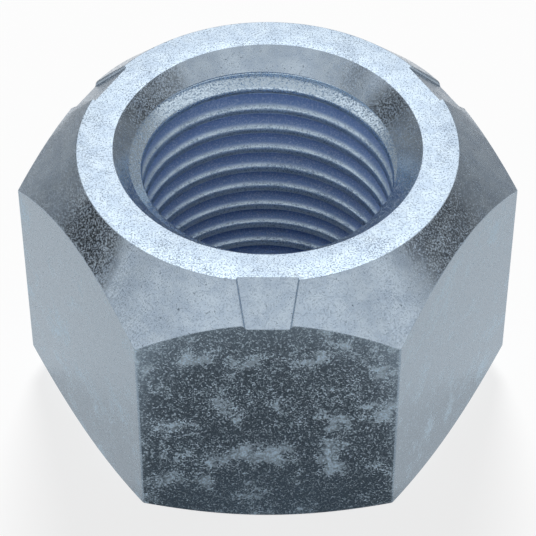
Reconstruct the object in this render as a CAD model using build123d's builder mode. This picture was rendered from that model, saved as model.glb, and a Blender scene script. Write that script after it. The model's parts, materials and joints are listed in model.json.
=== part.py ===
from build123d import *

import os
from math import cos, radians, sin, sqrt, tan

# Top lock nut for a 9/16-18 thread, one piece of zinc plated steel, in mm.
# A hexagon nut stands on its bearing face. Its top is turned to a cone with a
# flat ring on it, and flat crimps pressed into the cone squeeze the last
# threads, so that the nut grips its screw.
# The origin is the centre of the bearing face, and +Z runs up the bore.

# Hexagon bar
flat_count = 6
across_flats = 22.225
total_height = 16.1

# Cone at the locking end, with the flat ring on top
ring_diameter = 19.3
cone_slope = 45.0

# Bearing end
bearing_face_diameter = 21.1
bearing_chamfer_slope = 30.0

# Bore at the thread's minor diameter, with a countersink at each mouth
thread_diameter = 14.2875
thread_pitch = 25.4 / 18
top_mouth_diameter = 15.62
bearing_mouth_diameter = 15.2
countersink_angle = 90.0

# Crimps in the cone above every second flat. A crimp's floor is flat and lies
# parallel to the cone. It narrows towards the flat, and its sides lean outwards.
crimp_depth = 0.22
crimp_width_at_ring = 2.96
crimp_narrowing_angle = 9.5
crimp_side_draft = 25.0
first_crimp_direction = -90.0

# Rounding left on the corners by cold forming and plating
corner_rounding = 0.15

# How far a cutting tool runs past the surface that it cuts
tool_overrun = 1.0

# What follows from the sizes above
apothem = across_flats / 2
corner_radius = across_flats / sqrt(3)
turning_radius = corner_radius + tool_overrun
ring_radius = ring_diameter / 2
bearing_radius = bearing_face_diameter / 2
minor_diameter = thread_diameter - 5 * sqrt(3) / 8 * thread_pitch
crimp_count = flat_count // 2


def crimp_floor(direction):
    """Plane of one crimp's floor, with x along the ring and y up the cone."""
    outward = Vector(1, 0, 0).rotate(Axis.Z, direction)
    along_ring = outward.rotate(Axis.Z, 90)
    slope = radians(cone_slope)
    off_the_cone = outward * sin(slope) + Vector(0, 0, cos(slope))
    ring_edge = outward * ring_radius + Vector(0, 0, total_height)
    return Plane(ring_edge - off_the_cone * crimp_depth, along_ring, off_the_cone)


with BuildPart() as lock_nut:
    # Hexagon, with a corner on the X axis and a flat towards -Y
    with BuildSketch() as hexagon:
        RegularPolygon(apothem, flat_count, major_radius=False)
        fillet(hexagon.vertices(), corner_rounding)
    extrude(amount=total_height)

    # Turned outline: bearing chamfer, cone and ring
    with BuildSketch(Plane.XZ) as turned_outline:
        chamfer_rise = (turning_radius - bearing_radius) * tan(radians(bearing_chamfer_slope))
        cone_drop = (turning_radius - ring_radius) * tan(radians(cone_slope))
        with BuildLine():
            Polyline(
                (0, 0),
                (bearing_radius, 0),
                (turning_radius, chamfer_rise),
                (turning_radius, total_height - cone_drop),
                (ring_radius, total_height),
                (0, total_height),
                close=True,
            )
        make_face()
        ring_corner = turned_outline.vertices().group_by(Axis.Y)[-1].sort_by(Axis.X)[-1]
        bearing_corner = turned_outline.vertices().group_by(Axis.Y)[0].sort_by(Axis.X)[-1]
        fillet([ring_corner, bearing_corner], corner_rounding)
    revolve(axis=Axis.Z, mode=Mode.INTERSECT)

    # Bore, countersunk from the locking end and from the bearing end
    with Locations((0, 0, total_height)):
        CounterSinkHole(
            minor_diameter / 2, top_mouth_diameter / 2, counter_sink_angle=countersink_angle
        )
    with Locations(Location((0, 0, 0), (180, 0, 0))):
        CounterSinkHole(
            minor_diameter / 2, bearing_mouth_diameter / 2, counter_sink_angle=countersink_angle
        )

    # Crimps, each pressed in across the cone from above the ring to below the flat's edge
    crimp_directions = [first_crimp_direction + 360 / crimp_count * i for i in range(crimp_count)]
    with BuildSketch(*[crimp_floor(direction) for direction in crimp_directions]):
        ring_line = crimp_depth / tan(radians(cone_slope))
        top = tool_overrun
        bottom = -(apothem - ring_radius) / cos(radians(cone_slope)) - tool_overrun
        narrowing = tan(radians(crimp_narrowing_angle))
        top_half_width = crimp_width_at_ring / 2 + (top - ring_line) * narrowing
        bottom_half_width = crimp_width_at_ring / 2 + (bottom - ring_line) * narrowing
        with BuildLine():
            Polyline(
                (-top_half_width, top),
                (top_half_width, top),
                (bottom_half_width, bottom),
                (-bottom_half_width, bottom),
                close=True,
            )
        make_face()
    extrude(amount=crimp_depth + tool_overrun, taper=-crimp_side_draft, mode=Mode.SUBTRACT)

lock_nut.part.label = "lock_nut"

os.makedirs("parts", exist_ok=True)
export_step(lock_nut.part, "parts/lock_nut.step")
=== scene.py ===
import json
from math import cos, radians, sin, sqrt, tan

import bpy
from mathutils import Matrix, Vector


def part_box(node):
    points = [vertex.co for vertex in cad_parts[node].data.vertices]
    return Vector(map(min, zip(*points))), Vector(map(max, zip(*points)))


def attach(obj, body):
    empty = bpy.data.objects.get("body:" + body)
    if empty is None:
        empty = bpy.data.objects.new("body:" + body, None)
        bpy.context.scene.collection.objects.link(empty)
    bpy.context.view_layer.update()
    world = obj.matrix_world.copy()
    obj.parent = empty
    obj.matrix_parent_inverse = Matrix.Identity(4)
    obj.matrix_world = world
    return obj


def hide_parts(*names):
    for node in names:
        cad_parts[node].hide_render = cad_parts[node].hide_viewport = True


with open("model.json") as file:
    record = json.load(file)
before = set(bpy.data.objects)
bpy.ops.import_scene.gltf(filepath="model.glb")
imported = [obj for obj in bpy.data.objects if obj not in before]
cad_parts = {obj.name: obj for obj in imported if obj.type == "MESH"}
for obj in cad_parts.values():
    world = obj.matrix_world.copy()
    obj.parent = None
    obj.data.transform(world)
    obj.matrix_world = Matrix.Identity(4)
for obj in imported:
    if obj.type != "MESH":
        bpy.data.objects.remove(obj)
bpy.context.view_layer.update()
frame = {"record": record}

# The plating: zinc with a clear blue passivation, over the whole steel nut. The nuts
# tumble in a barrel while they are plated, so the skin is brighter in some places
# than in others, with pale specks of frost, faint stains and small dark pits.
mm = 0.001
low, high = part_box("lock_nut")
thread_mount = next(m for m in frame["record"]["mounts"] if m["name"] == "thread")
minor_radius = thread_mount["dims"]["r_mm"] * mm

cloud_size = 1.8 * mm
cloud_seed = 1.7
stain_size = 0.8 * mm
# The grains of the zinc and the pits between them are too fine to show at their real
# size, a few hundredths of a millimetre at most, so both are drawn coarser.
grain_size = 0.09 * mm
pit_size = 0.20 * mm
frost_height = 0.004 * mm
frost_gain_in_thread = 0.02

polished_roughness = 0.17
turned_frost_roughness = 0.70
flat_frost_roughness = 0.90
thread_roughness = 0.34
thread_frost_roughness = 0.50
groove_roughness = 0.55

# The bore keeps its polish down to the first full thread, and the look of a groove
# sets in a little way below the crests.
polish_end = high.z - 2.1 * mm
thread_look_start = high.z - 2.7 * mm
groove_look_start = minor_radius + 0.12 * mm
groove_look_full = minor_radius + 0.34 * mm


def linear(hex_colour):
    """A colour written as sRGB hex, as the linear values that Blender works with."""
    channels = [int(hex_colour[i:i + 2], 16) / 255 for i in (1, 3, 5)]
    return [c / 12.92 if c <= 0.04045 else ((c + 0.055) / 1.055) ** 2.4 for c in channels] + [1.0]


def add(tree, kind, inputs=None, **settings):
    """Adds a node with its settings, and sets or links its inputs by name or number."""
    node = tree.nodes.new(kind)
    for name, value in settings.items():
        setattr(node, name, value)
    for name, value in (inputs or {}).items():
        if isinstance(value, bpy.types.Node):
            value = value.outputs[0]
        if isinstance(value, bpy.types.NodeSocket):
            tree.links.new(value, node.inputs[name])
        else:
            node.inputs[name].default_value = value
    return node


# Blue zinc gives the eye a bluish, slightly blurred mirror on the turned faces, mottled
# patches of frost on the flats, and pale grainy crests over duller grooves in the
# thread, whose colour is painted darker and bluer as painted shade. The attributes
# "rolled" and "tapped" mark the flats and the thread.
zinc = bpy.data.materials.new("blue_zinc_plating")
zinc.use_nodes = True
tree = zinc.node_tree
tree.nodes.clear()
place = add(tree, "ShaderNodeTexCoord").outputs["Object"]
rolled = add(tree, "ShaderNodeAttribute", attribute_name="rolled").outputs["Fac"]
tapped = add(tree, "ShaderNodeAttribute", attribute_name="tapped").outputs["Fac"]

# Frost shows where a grain stands out. Dull clouds bring out more of it, most of all
# on the flats, where they also lay a thin haze over the skin.
clouds = add(tree, "ShaderNodeTexNoise", {"Vector": place, "W": cloud_seed,
             "Scale": 1 / cloud_size, "Detail": 5.0, "Roughness": 0.65}, noise_dimensions="4D")
grain = add(tree, "ShaderNodeTexNoise", {"Vector": place, "Scale": 1 / grain_size,
            "Detail": 4.0, "Roughness": 0.8})
gain_where_bright = add(tree, "ShaderNodeMapRange", {"Value": rolled, "To Min": 0.0,
                        "To Max": -0.01})
gain_where_dull = add(tree, "ShaderNodeMapRange", {"Value": rolled, "To Min": 0.05,
                      "To Max": 0.11})
gain = add(tree, "ShaderNodeMapRange", {"Value": clouds, "From Min": 0.46, "From Max": 0.70,
           "To Min": gain_where_bright, "To Max": gain_where_dull},
           interpolation_type="SMOOTHSTEP")
gain = add(tree, "ShaderNodeMath", {0: tapped, 1: frost_gain_in_thread, 2: gain},
           operation="MULTIPLY_ADD")
grown_grain = add(tree, "ShaderNodeMath", {0: grain, 1: gain}, operation="ADD")
specks = add(tree, "ShaderNodeMapRange", {"Value": grown_grain, "From Min": 0.515,
             "From Max": 0.65}, interpolation_type="SMOOTHSTEP")
haze = add(tree, "ShaderNodeMapRange", {"Value": clouds, "From Min": 0.50, "From Max": 0.70,
           "To Max": 0.42}, interpolation_type="SMOOTHSTEP")
haze = add(tree, "ShaderNodeMath", {0: haze, 1: rolled}, operation="MULTIPLY")
frost = add(tree, "ShaderNodeMath", {0: specks, 1: haze}, operation="MAXIMUM")

# Where a point of the bore lies: below the polished mouth, and deep in a groove.
place_across = add(tree, "ShaderNodeVectorMath", {0: place, 1: (1.0, 1.0, 0.0)},
                   operation="MULTIPLY")
radius = add(tree, "ShaderNodeVectorMath", {0: place_across}, operation="LENGTH")
place_up = add(tree, "ShaderNodeSeparateXYZ", {0: place}).outputs["Z"]
below_mouth = add(tree, "ShaderNodeMapRange", {"Value": place_up, "From Min": polish_end,
                  "From Max": thread_look_start}, interpolation_type="SMOOTHSTEP")
threaded = add(tree, "ShaderNodeMath", {0: below_mouth, 1: tapped}, operation="MULTIPLY")
deep = add(tree, "ShaderNodeMapRange", {"Value": radius.outputs["Value"],
           "From Min": groove_look_start, "From Max": groove_look_full},
           interpolation_type="SMOOTHSTEP")
deep = add(tree, "ShaderNodeMath", {0: deep, 1: threaded}, operation="MULTIPLY")

# Frost is rough, the skin between it is polished, and a groove is dull all over.
frost_roughness = add(tree, "ShaderNodeMapRange", {"Value": rolled,
                      "To Min": turned_frost_roughness, "To Max": flat_frost_roughness})
frost_roughness = add(tree, "ShaderNodeMapRange", {"Value": tapped,
                      "To Min": frost_roughness, "To Max": thread_frost_roughness})
skin_roughness = add(tree, "ShaderNodeMapRange", {"Value": threaded,
                     "To Min": polished_roughness, "To Max": thread_roughness})
roughness = add(tree, "ShaderNodeMapRange", {"Value": frost, "To Min": skin_roughness,
                "To Max": frost_roughness})
roughness = add(tree, "ShaderNodeMapRange", {"Value": deep, "To Min": roughness,
                "To Max": groove_roughness})

# Colours: the turned faces with their stains and pits, the flats, and the thread,
# which is painted darker and bluer deep in a groove as painted shade.
stains = add(tree, "ShaderNodeTexNoise", {"Vector": place, "Scale": 1 / stain_size,
             "Detail": 5.0, "Roughness": 0.7})
stains = add(tree, "ShaderNodeMapRange", {"Value": stains, "From Min": 0.35, "From Max": 0.65},
             interpolation_type="SMOOTHSTEP")
turned_colour = add(tree, "ShaderNodeMix", {"Factor": stains, "A": linear("#B5C6D8"),
                    "B": linear("#C6D6E5")}, data_type="RGBA").outputs["Result"]
pits = add(tree, "ShaderNodeTexNoise", {"Vector": place, "Scale": 1 / pit_size,
           "Detail": 4.0, "Roughness": 0.8})
pits = add(tree, "ShaderNodeMapRange", {"Value": pits, "From Min": 0.60, "From Max": 0.70},
           interpolation_type="SMOOTHSTEP")
turned_colour = add(tree, "ShaderNodeMix", {"Factor": pits, "A": turned_colour,
                    "B": linear("#5F6E7D")}, data_type="RGBA").outputs["Result"]
flat_colour = add(tree, "ShaderNodeMix", {"Factor": frost, "A": linear("#8394A3"),
                  "B": linear("#D6E7F3")}, data_type="RGBA").outputs["Result"]
outside_colour = add(tree, "ShaderNodeMix", {"Factor": rolled, "A": turned_colour,
                     "B": flat_colour}, data_type="RGBA").outputs["Result"]
crest_colour = add(tree, "ShaderNodeMix", {"Factor": frost, "A": linear("#DCEFFF"),
                   "B": linear("#98B3D0")}, data_type="RGBA").outputs["Result"]
# Painted shade: deep in a groove the thread's colour is darker and bluer.
groove_painted_shade_colour = add(tree, "ShaderNodeMix", {"Factor": frost, "A": linear("#94B2E2"),
                    "B": linear("#C6DAF6")}, data_type="RGBA").outputs["Result"]
thread_colour_and_groove_shade = add(tree, "ShaderNodeMix", {"Factor": deep, "A": crest_colour,
                    "B": groove_painted_shade_colour}, data_type="RGBA").outputs["Result"]
colour = add(tree, "ShaderNodeMix", {"Factor": tapped, "A": outside_colour,
             "B": thread_colour_and_groove_shade}, data_type="RGBA").outputs["Result"]
bump = add(tree, "ShaderNodeBump", {"Height": frost, "Strength": 1.0,
           "Distance": frost_height})
plated_steel = add(tree, "ShaderNodeBsdfPrincipled", {"Base Color": colour, "Metallic": 1.0,
                   "Roughness": roughness, "Normal": bump})
add(tree, "ShaderNodeOutputMaterial", {0: plated_steel})

# The blank: a piece of steel hexagon bar, turned at both ends to a chamfer and a
# cone, bored to the thread's minor diameter and countersunk. The hexagon and the
# height come from the frame, and the bore from the thread's mount.
tool_overrun = 1.0 * mm
apothem = (high.y - low.y) / 2
corner_radius = 2 / sqrt(3) * apothem
height = high.z - low.z
ring_radius = 19.3 / 2 * mm
cone_slope = radians(45)
bearing_radius = 21.1 / 2 * mm
bearing_chamfer_slope = radians(30)
turning_radius = corner_radius + tool_overrun
blank_sizes = {
    "Corner radius": corner_radius,
    "Height": height,
    "Minor radius": minor_radius,
    "Bearing radius": bearing_radius,
    "Turning radius": turning_radius,
    "Chamfer rise": (turning_radius - bearing_radius) * tan(bearing_chamfer_slope),
    "Cone drop": (turning_radius - ring_radius) * tan(cone_slope),
    "Ring radius": ring_radius,
    "Top mouth radius": 15.62 / 2 * mm,
    "Bearing mouth radius": 15.2 / 2 * mm,
    "Turned edge rounding": 0.10 * mm,
    "Mouth rounding": 0.04 * mm,
}
hexagon_edge_bevel = 0.087 * mm
flat_edge_bevel = 0.05 * mm
corner_turn = radians(55)
rounding_steps = 4
turned_segments = 360


def size_tree(name, sizes, geometry_in):
    """An empty geometry tree with a named input for each size. Returns it and its inputs."""
    tree = bpy.data.node_groups.new(name, "GeometryNodeTree")
    if geometry_in:
        tree.interface.new_socket("Geometry", in_out="INPUT", socket_type="NodeSocketGeometry")
    for size in sizes:
        tree.interface.new_socket(size, in_out="INPUT", socket_type="NodeSocketFloat")
    tree.interface.new_socket("Geometry", in_out="OUTPUT", socket_type="NodeSocketGeometry")
    return tree, add(tree, "NodeGroupInput").outputs


def run_tree(piece, tree, sizes):
    """Puts the tree on the piece as a modifier, with its sizes set by their sockets."""
    modifier = piece.modifiers.new(tree.name, "NODES")
    modifier.node_group = tree
    for item in tree.interface.items_tree:
        if item.in_out == "INPUT" and item.name in sizes:
            modifier[item.identifier] = sizes[item.name]


def rounded_outline(tree, corners):
    """A closed outline through corners, each with an x, a y and the radius that rounds it."""
    number = add(tree, "GeometryNodeInputIndex")
    place = add(tree, "GeometryNodeIndexSwitch", {"Index": number}, data_type="VECTOR")
    rounding = add(tree, "GeometryNodeIndexSwitch", {"Index": number}, data_type="FLOAT")
    for extra in corners[2:]:
        place.index_switch_items.new()
        rounding.index_switch_items.new()
    for index, (x, y, radius) in enumerate(corners):
        corner = add(tree, "ShaderNodeCombineXYZ", {0: x, 1: y})
        tree.links.new(corner.outputs[0], place.inputs[str(index)])
        if radius:
            tree.links.new(radius, rounding.inputs[str(index)])
    points = add(tree, "GeometryNodeMeshLine", {"Count": len(corners)})
    points = add(tree, "GeometryNodeSetPosition", {"Geometry": points, "Position": place})
    outline = add(tree, "GeometryNodeMeshToCurve", {"Mesh": points})
    outline = add(tree, "GeometryNodeSetSplineCyclic", {"Geometry": outline, "Cyclic": True})
    return add(tree, "GeometryNodeFilletCurve", {"Curve": outline, "Radius": rounding,
               "Count": rounding_steps}, mode="POLY")


# The turned outline runs from the lower end of the bore's wall round to the upper one.
# Both countersinks lean 45 degrees, so each is as deep as the step from its mouth's
# radius to the bore's.
tree, size = size_tree("hexagon_blank", blank_sizes, geometry_in=False)
lower_wall = add(tree, "ShaderNodeMath", {0: size["Bearing mouth radius"],
                 1: size["Minor radius"]}, operation="SUBTRACT")
upper_drop = add(tree, "ShaderNodeMath", {0: size["Top mouth radius"],
                 1: size["Minor radius"]}, operation="SUBTRACT")
upper_wall = add(tree, "ShaderNodeMath", {0: size["Height"], 1: upper_drop},
                 operation="SUBTRACT")
cone_foot = add(tree, "ShaderNodeMath", {0: size["Height"], 1: size["Cone drop"]},
                operation="SUBTRACT")
turned_corners = [
    (size["Minor radius"], lower_wall, 0.0),
    (size["Bearing mouth radius"], 0.0, size["Mouth rounding"]),
    (size["Bearing radius"], 0.0, size["Turned edge rounding"]),
    (size["Turning radius"], size["Chamfer rise"], 0.0),
    (size["Turning radius"], cone_foot, 0.0),
    (size["Ring radius"], size["Height"], size["Turned edge rounding"]),
    (size["Top mouth radius"], size["Height"], size["Mouth rounding"]),
    (size["Minor radius"], upper_wall, 0.0),
]
outline = rounded_outline(tree, turned_corners)

# A sweep measures its outline from its path, here a circle on the bore's wall, and
# takes the outline's y downwards, so the outline is moved inwards and mirrored. Half
# a segment's turn keeps the sweep's edges off the hexagon's corners.
inwards = add(tree, "ShaderNodeMath", {0: size["Minor radius"], 1: -1.0}, operation="MULTIPLY")
inwards = add(tree, "ShaderNodeCombineXYZ", {0: inwards})
outline = add(tree, "GeometryNodeTransform", {"Geometry": outline, "Translation": inwards,
              "Scale": (1, -1, 1)})
circle = add(tree, "GeometryNodeCurvePrimitiveCircle", {"Resolution": turned_segments,
             "Radius": size["Minor radius"]})
turned = add(tree, "GeometryNodeCurveToMesh", {"Curve": circle, "Profile Curve": outline})
half_segment = (0, 0, radians(180 / turned_segments))
turned = add(tree, "GeometryNodeTransform", {"Geometry": turned, "Rotation": half_segment})

# The bar passes out of the turned shape at both ends, and the blank is what both share.
bar_length = add(tree, "ShaderNodeMath", {0: size["Height"], 1: 3.0}, operation="MULTIPLY")
bar = add(tree, "GeometryNodeMeshCylinder", {"Vertices": 6, "Radius": size["Corner radius"],
          "Depth": bar_length})
blank = add(tree, "GeometryNodeMeshBoolean", operation="INTERSECT", solver="EXACT")
tree.links.new(turned.outputs[0], blank.inputs["Mesh 2"])
tree.links.new(bar.outputs[0], blank.inputs["Mesh 2"])

# The hexagon's corners get the full bevel, and the edges where the turning tool cut
# the flats get a smaller one.
edge_turn = add(tree, "GeometryNodeInputMeshEdgeAngle")
is_corner = add(tree, "FunctionNodeCompare", {0: edge_turn, 1: corner_turn},
                operation="GREATER_THAN")
where_cut = add(tree, "ShaderNodeMath", {0: blank.outputs["Intersecting Edges"],
                1: flat_edge_bevel / hexagon_edge_bevel}, operation="MULTIPLY")
bevel_weight = add(tree, "ShaderNodeMath", {0: is_corner, 1: where_cut}, operation="MAXIMUM")
blank = add(tree, "GeometryNodeStoreNamedAttribute", {"Geometry": blank,
            "Name": "bevel_weight_edge", "Value": bevel_weight}, data_type="FLOAT",
            domain="EDGE")
blank = add(tree, "GeometryNodeRealizeInstances", {0: blank})
blank = add(tree, "GeometryNodeSetMaterial", {0: blank, "Material": zinc})
add(tree, "NodeGroupOutput", {0: blank})

nut = bpy.data.objects.new("lock_nut_body", bpy.data.meshes.new("lock_nut_body"))
bpy.context.scene.collection.objects.link(nut)
run_tree(nut, tree, blank_sizes)
bevel = nut.modifiers.new("edges", "BEVEL")
bevel.limit_method = "WEIGHT"
bevel.width = hexagon_edge_bevel
bevel.segments = 3
bevel.use_clamp_overlap = False

# The thread and the crimps: a 9/16-18 right-hand thread is tapped through the steel
# of the bore, and then three flat-ended punches press on the cone above every second
# flat, so that the last threads grip the screw.
thread_pitch = 25.4 / 18 * mm
major_radius = 14.2875 / 2 * mm
groove_depth = major_radius - minor_radius
root_half_width = thread_pitch / 16
flank_slope = radians(30)
crest_ease_slope = radians(60)
crest_ease_depth = 0.07 * mm
crest_ease_half_width = root_half_width + (groove_depth - crest_ease_depth) * tan(flank_slope)
tap_overrun = 0.03 * mm
mouth_half_width = crest_ease_half_width + (crest_ease_depth + tap_overrun) * tan(crest_ease_slope)
# The groove passes the middle of the bore's back wall at this height, as in the photo.
# The tap starts below the nut, on +X, and comes out above it.
groove_height_at_back = 14.79 * mm
turns_below_back = 12.25
thread_turns = 14
thread_segments = 120

crimp_count = 3
crimp_depth = 0.22 * mm
crimp_width_at_ring = 2.96 * mm
crimp_narrowing_angle = radians(9.5)
crimp_narrowing = tan(crimp_narrowing_angle)
crimp_half_width = crimp_width_at_ring / 2 - crimp_depth / tan(cone_slope) * crimp_narrowing
crimp_end = -(apothem - ring_radius) / cos(cone_slope) - tool_overrun
crimp_side_draft = radians(25)
crimp_edge_draft = radians(65)
crimp_edge_height = 0.12 * mm
crimp_edge_half_width = crimp_half_width + crimp_edge_height * tan(crimp_side_draft)
punch_height = crimp_depth + tool_overrun
punch_half_width = (crimp_edge_half_width
                    + (punch_height - crimp_edge_height) * tan(crimp_edge_draft))
cut_sizes = {
    "Ring radius": ring_radius,
    "Thread outer radius": major_radius + 0.01 * mm,
    "Thread radius": minor_radius,
    "Thread length": thread_turns * thread_pitch,
    "Thread start": groove_height_at_back - turns_below_back * thread_pitch,
    "Groove depth": groove_depth,
    "Root half width": root_half_width,
    "Ease depth": crest_ease_depth,
    "Ease half width": crest_ease_half_width,
    "Tap overrun": -tap_overrun,
    "Mouth half width": mouth_half_width,
    "Root rounding": 0.07 * mm,
    "Ease rounding": 0.10 * mm,
    "Crimp top": tool_overrun,
    "Crimp end": crimp_end,
    "Crimp half width": crimp_half_width,
    "Crimp narrowing": crimp_narrowing,
    "Crimp floor rounding": 0.06 * mm,
    "Crimp edge height": crimp_edge_height,
    "Crimp edge half width": crimp_edge_half_width,
    "Crimp edge rounding": 0.05 * mm,
    "Crimp floor radius": ring_radius - crimp_depth * sin(cone_slope),
    "Crimp floor height": height - crimp_depth * cos(cone_slope),
    "Punch height": punch_height,
    "Punch half width": punch_half_width,
}
# What tells the faces and edges apart: how far a flat's normal may rise, how nearly a
# countersink keeps its slope, and the turn from which an edge stays sharp.
most_rise_on_flat = 0.3
countersink_slope = radians(45)
countersink_tolerance = 0.02
sharp_turn = radians(33)

# The tap is the groove's outline, swept up a right-hand helix on the bore's wall.
tree, size = size_tree("thread_and_crimps", cut_sizes, geometry_in=True)
groove_side = [
    (size["Tap overrun"], size["Mouth half width"], 0.0),
    (size["Ease depth"], size["Ease half width"], size["Ease rounding"]),
    (size["Groove depth"], size["Root half width"], size["Root rounding"]),
]
lower_groove_side = []
for depth, half_width, rounding in groove_side:
    below = add(tree, "ShaderNodeMath", {0: half_width, 1: -1.0}, operation="MULTIPLY")
    lower_groove_side.append((depth, below.outputs[0], rounding))
groove = rounded_outline(tree, lower_groove_side + groove_side[::-1])
helix = add(tree, "GeometryNodeCurveSpiral", {"Resolution": thread_segments,
            "Rotations": float(thread_turns), "Start Radius": size["Thread radius"],
            "End Radius": size["Thread radius"], "Height": size["Thread length"],
            "Reverse": True})
helix = add(tree, "GeometryNodeSetCurveNormal", {"Curve": helix}, mode="Z_UP")
thread_start = add(tree, "ShaderNodeCombineXYZ", {2: size["Thread start"]})
helix = add(tree, "GeometryNodeTransform", {"Geometry": helix, "Translation": thread_start})
tap = add(tree, "GeometryNodeCurveToMesh", {"Curve": helix, "Profile Curve": groove,
          "Fill Caps": True})

# The punch is drawn with its floor at z = 0, in a straight line along y. Its outline
# is mirrored, because this sweep too takes an outline's y downwards, and its corners
# run the other way round from the blank's, or the punch would be inside out.
punch_side = [
    (size["Crimp half width"], 0.0, size["Crimp floor rounding"]),
    (size["Crimp edge half width"], size["Crimp edge height"], size["Crimp edge rounding"]),
    (size["Punch half width"], size["Punch height"], 0.0),
]
left_punch_side = []
for half_width, rise, rounding in punch_side:
    leftwards = add(tree, "ShaderNodeMath", {0: half_width, 1: -1.0}, operation="MULTIPLY")
    left_punch_side.append((leftwards.outputs[0], rise, rounding))
punch_outline = rounded_outline(tree, left_punch_side + punch_side[::-1])
punch_outline = add(tree, "GeometryNodeTransform", {"Geometry": punch_outline,
                    "Scale": (1, -1, 1)})
punch_end = add(tree, "ShaderNodeCombineXYZ", {1: size["Crimp end"]})
punch_top = add(tree, "ShaderNodeCombineXYZ", {1: size["Crimp top"]})
punch_line = add(tree, "GeometryNodeCurvePrimitiveLine", {"Start": punch_end,
                 "End": punch_top})
punch = add(tree, "GeometryNodeCurveToMesh", {"Curve": punch_line,
            "Profile Curve": punch_outline, "Fill Caps": True})

# It narrows towards the flat, and then it is laid on the cone and turned to its places.
corner = add(tree, "ShaderNodeSeparateXYZ", {0: add(tree, "GeometryNodeInputPosition")})
side = add(tree, "ShaderNodeMath", {0: corner.outputs["X"]}, operation="SIGN")
wider = add(tree, "ShaderNodeMath", {0: corner.outputs["Y"], 1: size["Crimp narrowing"]},
            operation="MULTIPLY")
wider = add(tree, "ShaderNodeMath", {0: wider, 1: side}, operation="MULTIPLY")
wider = add(tree, "ShaderNodeCombineXYZ", {0: wider})
punch = add(tree, "GeometryNodeSetPosition", {"Geometry": punch, "Offset": wider})
forwards = add(tree, "ShaderNodeMath", {0: size["Crimp floor radius"], 1: -1.0},
               operation="MULTIPLY")
punch_seat = add(tree, "ShaderNodeCombineXYZ", {1: forwards, 2: size["Crimp floor height"]})
punch = add(tree, "GeometryNodeTransform", {"Geometry": punch, "Translation": punch_seat,
            "Rotation": (cone_slope, 0, 0)})
number = add(tree, "GeometryNodeInputIndex")
turn = add(tree, "ShaderNodeMath", {0: number, 1: radians(360 / crimp_count)},
           operation="MULTIPLY")
turn = add(tree, "ShaderNodeCombineXYZ", {2: turn})
centres = add(tree, "GeometryNodeMeshLine", {"Count": crimp_count, "Offset": (0, 0, 0)})
punches = add(tree, "GeometryNodeInstanceOnPoints", {"Points": centres, "Instance": punch,
              "Rotation": turn})
punches = add(tree, "GeometryNodeRealizeInstances", {0: punches})
cut = add(tree, "GeometryNodeMeshBoolean", {"Mesh 1": size["Geometry"]},
          operation="DIFFERENCE", solver="EXACT")
tree.links.new(tap.outputs[0], cut.inputs["Mesh 2"])
tree.links.new(punches.outputs[0], cut.inputs["Mesh 2"])

# A face of the bar's flats is upright and outside the ring. A face of the thread is
# inside the thread's outer radius and doesn't lean as a countersink does.
facing = add(tree, "ShaderNodeSeparateXYZ", {0: add(tree, "GeometryNodeInputNormal")})
facing_up = add(tree, "ShaderNodeMath", {0: facing.outputs["Z"]}, operation="ABSOLUTE")
upright = add(tree, "FunctionNodeCompare", {0: facing_up, 1: most_rise_on_flat},
              operation="LESS_THAN")
from_axis = add(tree, "ShaderNodeVectorMath", {0: add(tree, "GeometryNodeInputPosition"),
                1: (1, 1, 0)}, operation="MULTIPLY")
from_axis = add(tree, "ShaderNodeVectorMath", {0: from_axis}, operation="LENGTH")
outside_ring = add(tree, "FunctionNodeCompare", {0: from_axis.outputs["Value"],
                   1: size["Ring radius"]}, operation="GREATER_THAN")
on_flat = add(tree, "FunctionNodeBooleanMath", {0: upright, 1: outside_ring}, operation="AND")
cut = add(tree, "GeometryNodeStoreNamedAttribute", {"Geometry": cut, "Name": "rolled",
          "Value": on_flat}, data_type="FLOAT", domain="FACE")
inside_thread = add(tree, "FunctionNodeCompare", {0: from_axis.outputs["Value"],
                    1: size["Thread outer radius"]}, operation="LESS_THAN")
not_sunk = add(tree, "FunctionNodeCompare", {0: facing_up, 1: cos(countersink_slope),
               "Epsilon": countersink_tolerance}, operation="NOT_EQUAL")
in_thread = add(tree, "FunctionNodeBooleanMath", {0: inside_thread, 1: not_sunk},
                operation="AND")
cut = add(tree, "GeometryNodeStoreNamedAttribute", {"Geometry": cut, "Name": "tapped",
          "Value": in_thread}, data_type="FLOAT", domain="FACE")

# Only the edges that turn gently are shaded smooth.
cut = add(tree, "GeometryNodeSetShadeSmooth", {0: cut, "Shade Smooth": True})
edge_turn = add(tree, "GeometryNodeInputMeshEdgeAngle")
gentle = add(tree, "FunctionNodeCompare", {0: edge_turn, 1: sharp_turn}, operation="LESS_THAN")
cut = add(tree, "GeometryNodeSetShadeSmooth", {0: cut, "Shade Smooth": gentle}, domain="EDGE")
cut = add(tree, "GeometryNodeRealizeInstances", {0: cut})
cut = add(tree, "GeometryNodeSetMaterial", {0: cut, "Material": zinc})
add(tree, "NodeGroupOutput", {0: cut})
run_tree(nut, tree, cut_sizes)
even = nut.modifiers.new("even_shading", "WEIGHTED_NORMAL")
even.keep_sharp = True

solid = bpy.data.meshes.new_from_object(nut.evaluated_get(bpy.context.evaluated_depsgraph_get()))
nut.modifiers.clear()
nut.data = solid
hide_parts("lock_nut")
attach(nut, "root")

# The table: a large sheet of matte white paper, which the nut stands on. The camera
# sees it nearly white, with the nut's soft shadow. For the metal it has painted
# shade under and in front of the nut, over the lamp's real shadow there, a painted
# pool of light round that, and painted shade that turns it grey far away.
sheet_size = 4.0
white_to_camera = 0.8
# The painted shade in front of the nut, where the metal mirrors less white.
shade_ahead = 12 * mm
shade_half_width = 7.2 * mm
shade_half_length = 24 * mm
# The painted pool of light round the nut, and where it fades to painted grey.
pale_ahead = 15 * mm
pale_radius = 48 * mm
grey_radius = 58 * mm
# The share of plain white that the metal mirrors in the painted shade and round it,
# and how much of that is left far away, in the painted grey.
shade_white = 0.04
pale_white = 0.73
far_white = 0.22


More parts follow.
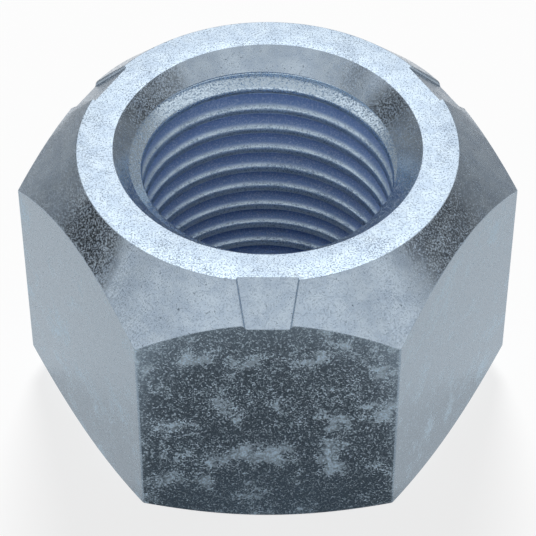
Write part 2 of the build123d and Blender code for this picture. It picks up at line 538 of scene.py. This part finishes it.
def ray_kinds(tree):
    """Two tests of a ray: from the camera, and from the camera, a shiny piece or a clear one."""
    rays = add(tree, "ShaderNodeLightPath").outputs
    seen = add(tree, "ShaderNodeMath", {0: rays["Is Camera Ray"], 1: rays["Is Glossy Ray"]},
               operation="ADD")
    seen = add(tree, "ShaderNodeMath", {0: seen, 1: rays["Is Transmission Ray"]},
               operation="ADD", use_clamp=True)
    return rays["Is Camera Ray"], seen


# Uncoated paper gives the eye an even white without gloss. A share of plain white in
# place of the lit sheet keeps it white to the camera, and sets how pale the metal
# mirrors it, which paints the shade in front of the nut and the pool of light round it.
paper = bpy.data.materials.new("matte_white_paper")
paper.use_nodes = True
tree = paper.node_tree
tree.nodes.clear()
by_camera, by_camera_or_metal = ray_kinds(tree)
place = add(tree, "ShaderNodeTexCoord").outputs["Object"]

# The painted shade: squaring the offsets from its middle makes it a rounded rectangle.
from_shade = add(tree, "ShaderNodeMapping", {"Vector": place,
                 "Location": (0, shade_ahead / shade_half_length, 0),
                 "Scale": (1 / shade_half_width, 1 / shade_half_length, 0)})
squared = add(tree, "ShaderNodeVectorMath", {0: from_shade, 1: from_shade},
              operation="MULTIPLY")
out_of_shade = add(tree, "ShaderNodeVectorMath", {0: squared}, operation="LENGTH")
mirrored_white_and_painted_shade = add(tree, "ShaderNodeMapRange", {"Value": out_of_shade.outputs["Value"],
                     "From Min": 0.75, "From Max": 1.35, "To Min": shade_white,
                     "To Max": pale_white}, interpolation_type="SMOOTHSTEP")

# Painted light and shade: near the nut the sheet is pale, and far away it is painted grey with
# less white.
from_pale = add(tree, "ShaderNodeVectorMath", {0: place, 1: (0, pale_ahead, 0)},
                operation="ADD")
from_pale = add(tree, "ShaderNodeVectorMath", {0: from_pale}, operation="LENGTH")
painted_light_pool = add(tree, "ShaderNodeMapRange", {"Value": from_pale.outputs["Value"],
               "From Min": pale_radius, "From Max": grey_radius, "To Min": 1.0, "To Max": 0.0},
               interpolation_type="SMOOTHSTEP")
part_left = add(tree, "ShaderNodeMapRange", {"Value": painted_light_pool, "To Min": far_white,
                "To Max": 1.0})
white_share = add(tree, "ShaderNodeMath", {0: mirrored_white_and_painted_shade, 1: part_left},
                  operation="MULTIPLY")
white_share = add(tree, "ShaderNodeMath", {0: white_share, 1: by_camera_or_metal},
                  operation="MULTIPLY")
camera_share = add(tree, "ShaderNodeMath", {0: by_camera, 1: white_to_camera},
                   operation="MULTIPLY")
white_share = add(tree, "ShaderNodeMath", {0: white_share, 1: camera_share},
                  operation="MAXIMUM")
painted_pool_paleness = add(tree, "ShaderNodeMath", {0: painted_light_pool, 1: by_camera}, operation="MAXIMUM")
sheet_colour = add(tree, "ShaderNodeMix", {"Factor": painted_pool_paleness, "A": linear("#8C8C8C"),
                   "B": linear("#F5F5F5")}, data_type="RGBA").outputs["Result"]
lit_sheet = add(tree, "ShaderNodeBsdfDiffuse", {"Color": sheet_colour})
plain_white = add(tree, "ShaderNodeEmission", {"Color": linear("#FFFFFF"), "Strength": 1.0})
sheet = add(tree, "ShaderNodeMixShader", {0: white_share, 1: lit_sheet, 2: plain_white})
add(tree, "ShaderNodeOutputMaterial", {0: sheet})
bpy.ops.mesh.primitive_plane_add(size=sheet_size)
table = bpy.context.object
table.name = "table_paper"
table.data.materials.append(paper)

# The light: one large soft lamp behind and above the nut, which the metal doesn't
# mirror, and a pale room with lighter and darker parts, which it does. The room
# sheds little light itself, and the camera sees it white.
lamp_width = 0.8
lamp_power = 50.0
lamp_distance = 2.0
lamp_angle_up = radians(42)
lamp_data = bpy.data.lights.new("soft_lamp", "AREA")
lamp_data.shape = "DISK"
lamp_data.size = lamp_width
lamp_data.energy = lamp_power
lamp = bpy.data.objects.new("soft_lamp", lamp_data)
bpy.context.scene.collection.objects.link(lamp)
lamp.location = Vector((0, cos(lamp_angle_up), sin(lamp_angle_up))) * lamp_distance
lamp.rotation_euler = (-lamp.location).to_track_quat("-Z", "Y").to_euler()
lamp.visible_glossy = False

room_light = 0.12
room_brightness = 0.85

# Each part of the room has a direction, as its angle round from +X and its angle up,
# the angles from there at which it starts to fade and ends, and its brightness.
room_parts = (
    (90, 45, 20, 42, 1.30),  # behind, where the ring mirrors it
    (-90, 75, 10, 34, 0.56),  # overhead, a little in front
    (90, 57, 4, 17, 2.00),  # a bright patch behind, higher up
    (138, 15, 22, 38, 0.26),  # low behind on the left
    (42, 15, 22, 38, 0.26),  # and on the right
    (-145, 47, 5, 14, 0.60),  # halfway up in front on the left
    (-35, 47, 5, 14, 0.60),  # and on the right
    (-164, 40, 5, 11, 0.30),  # nearly beside the nut, on the left
    (-6, 38, 7, 14, 0.22),  # and on the right
    (173, 18, 11, 20, 0.03),  # low beside the nut, on the left
    (9, 19, 9, 23, 0.09),  # and on the right
)
room = bpy.data.worlds.new("pale_room")
bpy.context.scene.world = room
room.use_nodes = True
tree = room.node_tree
tree.nodes.clear()
by_camera, by_camera_or_metal = ray_kinds(tree)
direction = add(tree, "ShaderNodeTexCoord").outputs["Generated"]
brightness = room_brightness
for round_from_x, angle_up, fade_start, fade_end, part_brightness in room_parts:
    towards = Vector((cos(radians(round_from_x)), sin(radians(round_from_x)),
                      tan(radians(angle_up))))
    along = add(tree, "ShaderNodeVectorMath", {0: direction, 1: towards.normalized()},
                operation="DOT_PRODUCT")
    within = add(tree, "ShaderNodeMapRange", {"Value": along.outputs["Value"],
                 "From Min": cos(radians(fade_end)), "From Max": cos(radians(fade_start))},
                 interpolation_type="SMOOTHSTEP")
    brightness = add(tree, "ShaderNodeMix", {"Factor": within, "A": brightness,
                     "B": part_brightness}, data_type="FLOAT")
strength = add(tree, "ShaderNodeMix", {"Factor": by_camera_or_metal, "A": room_light,
               "B": brightness}, data_type="FLOAT")
strength = add(tree, "ShaderNodeMath", {0: strength, 1: by_camera}, operation="MAXIMUM")
shine = add(tree, "ShaderNodeBackground", {"Color": linear("#FFFFFF"), "Strength": strength})
add(tree, "ShaderNodeOutputWorld", {0: shine})

# The camera stands in front of a crimped flat and looks down on the nut, at about 45
# degrees and from 13 cm. Its lens, height and aim are the ones fitted to the photo.
camera_angle_up = radians(45.29)
camera_distance = 131.83 * mm
aim = Vector((0.012, 0, 7.284)) * mm
camera_data = bpy.data.cameras.new("camera")
camera_data.lens = 167.458
camera_data.sensor_width = 36.0
camera_data.clip_start = 0.01
camera = bpy.data.objects.new("camera", camera_data)
bpy.context.scene.collection.objects.link(camera)
camera.location = aim + Vector((0, -cos(camera_angle_up), sin(camera_angle_up))) * camera_distance
camera.rotation_euler = (aim - camera.location).to_track_quat("-Z", "Y").to_euler()
bpy.context.scene.camera = camera
bpy.context.scene.view_settings.view_transform = "Standard"
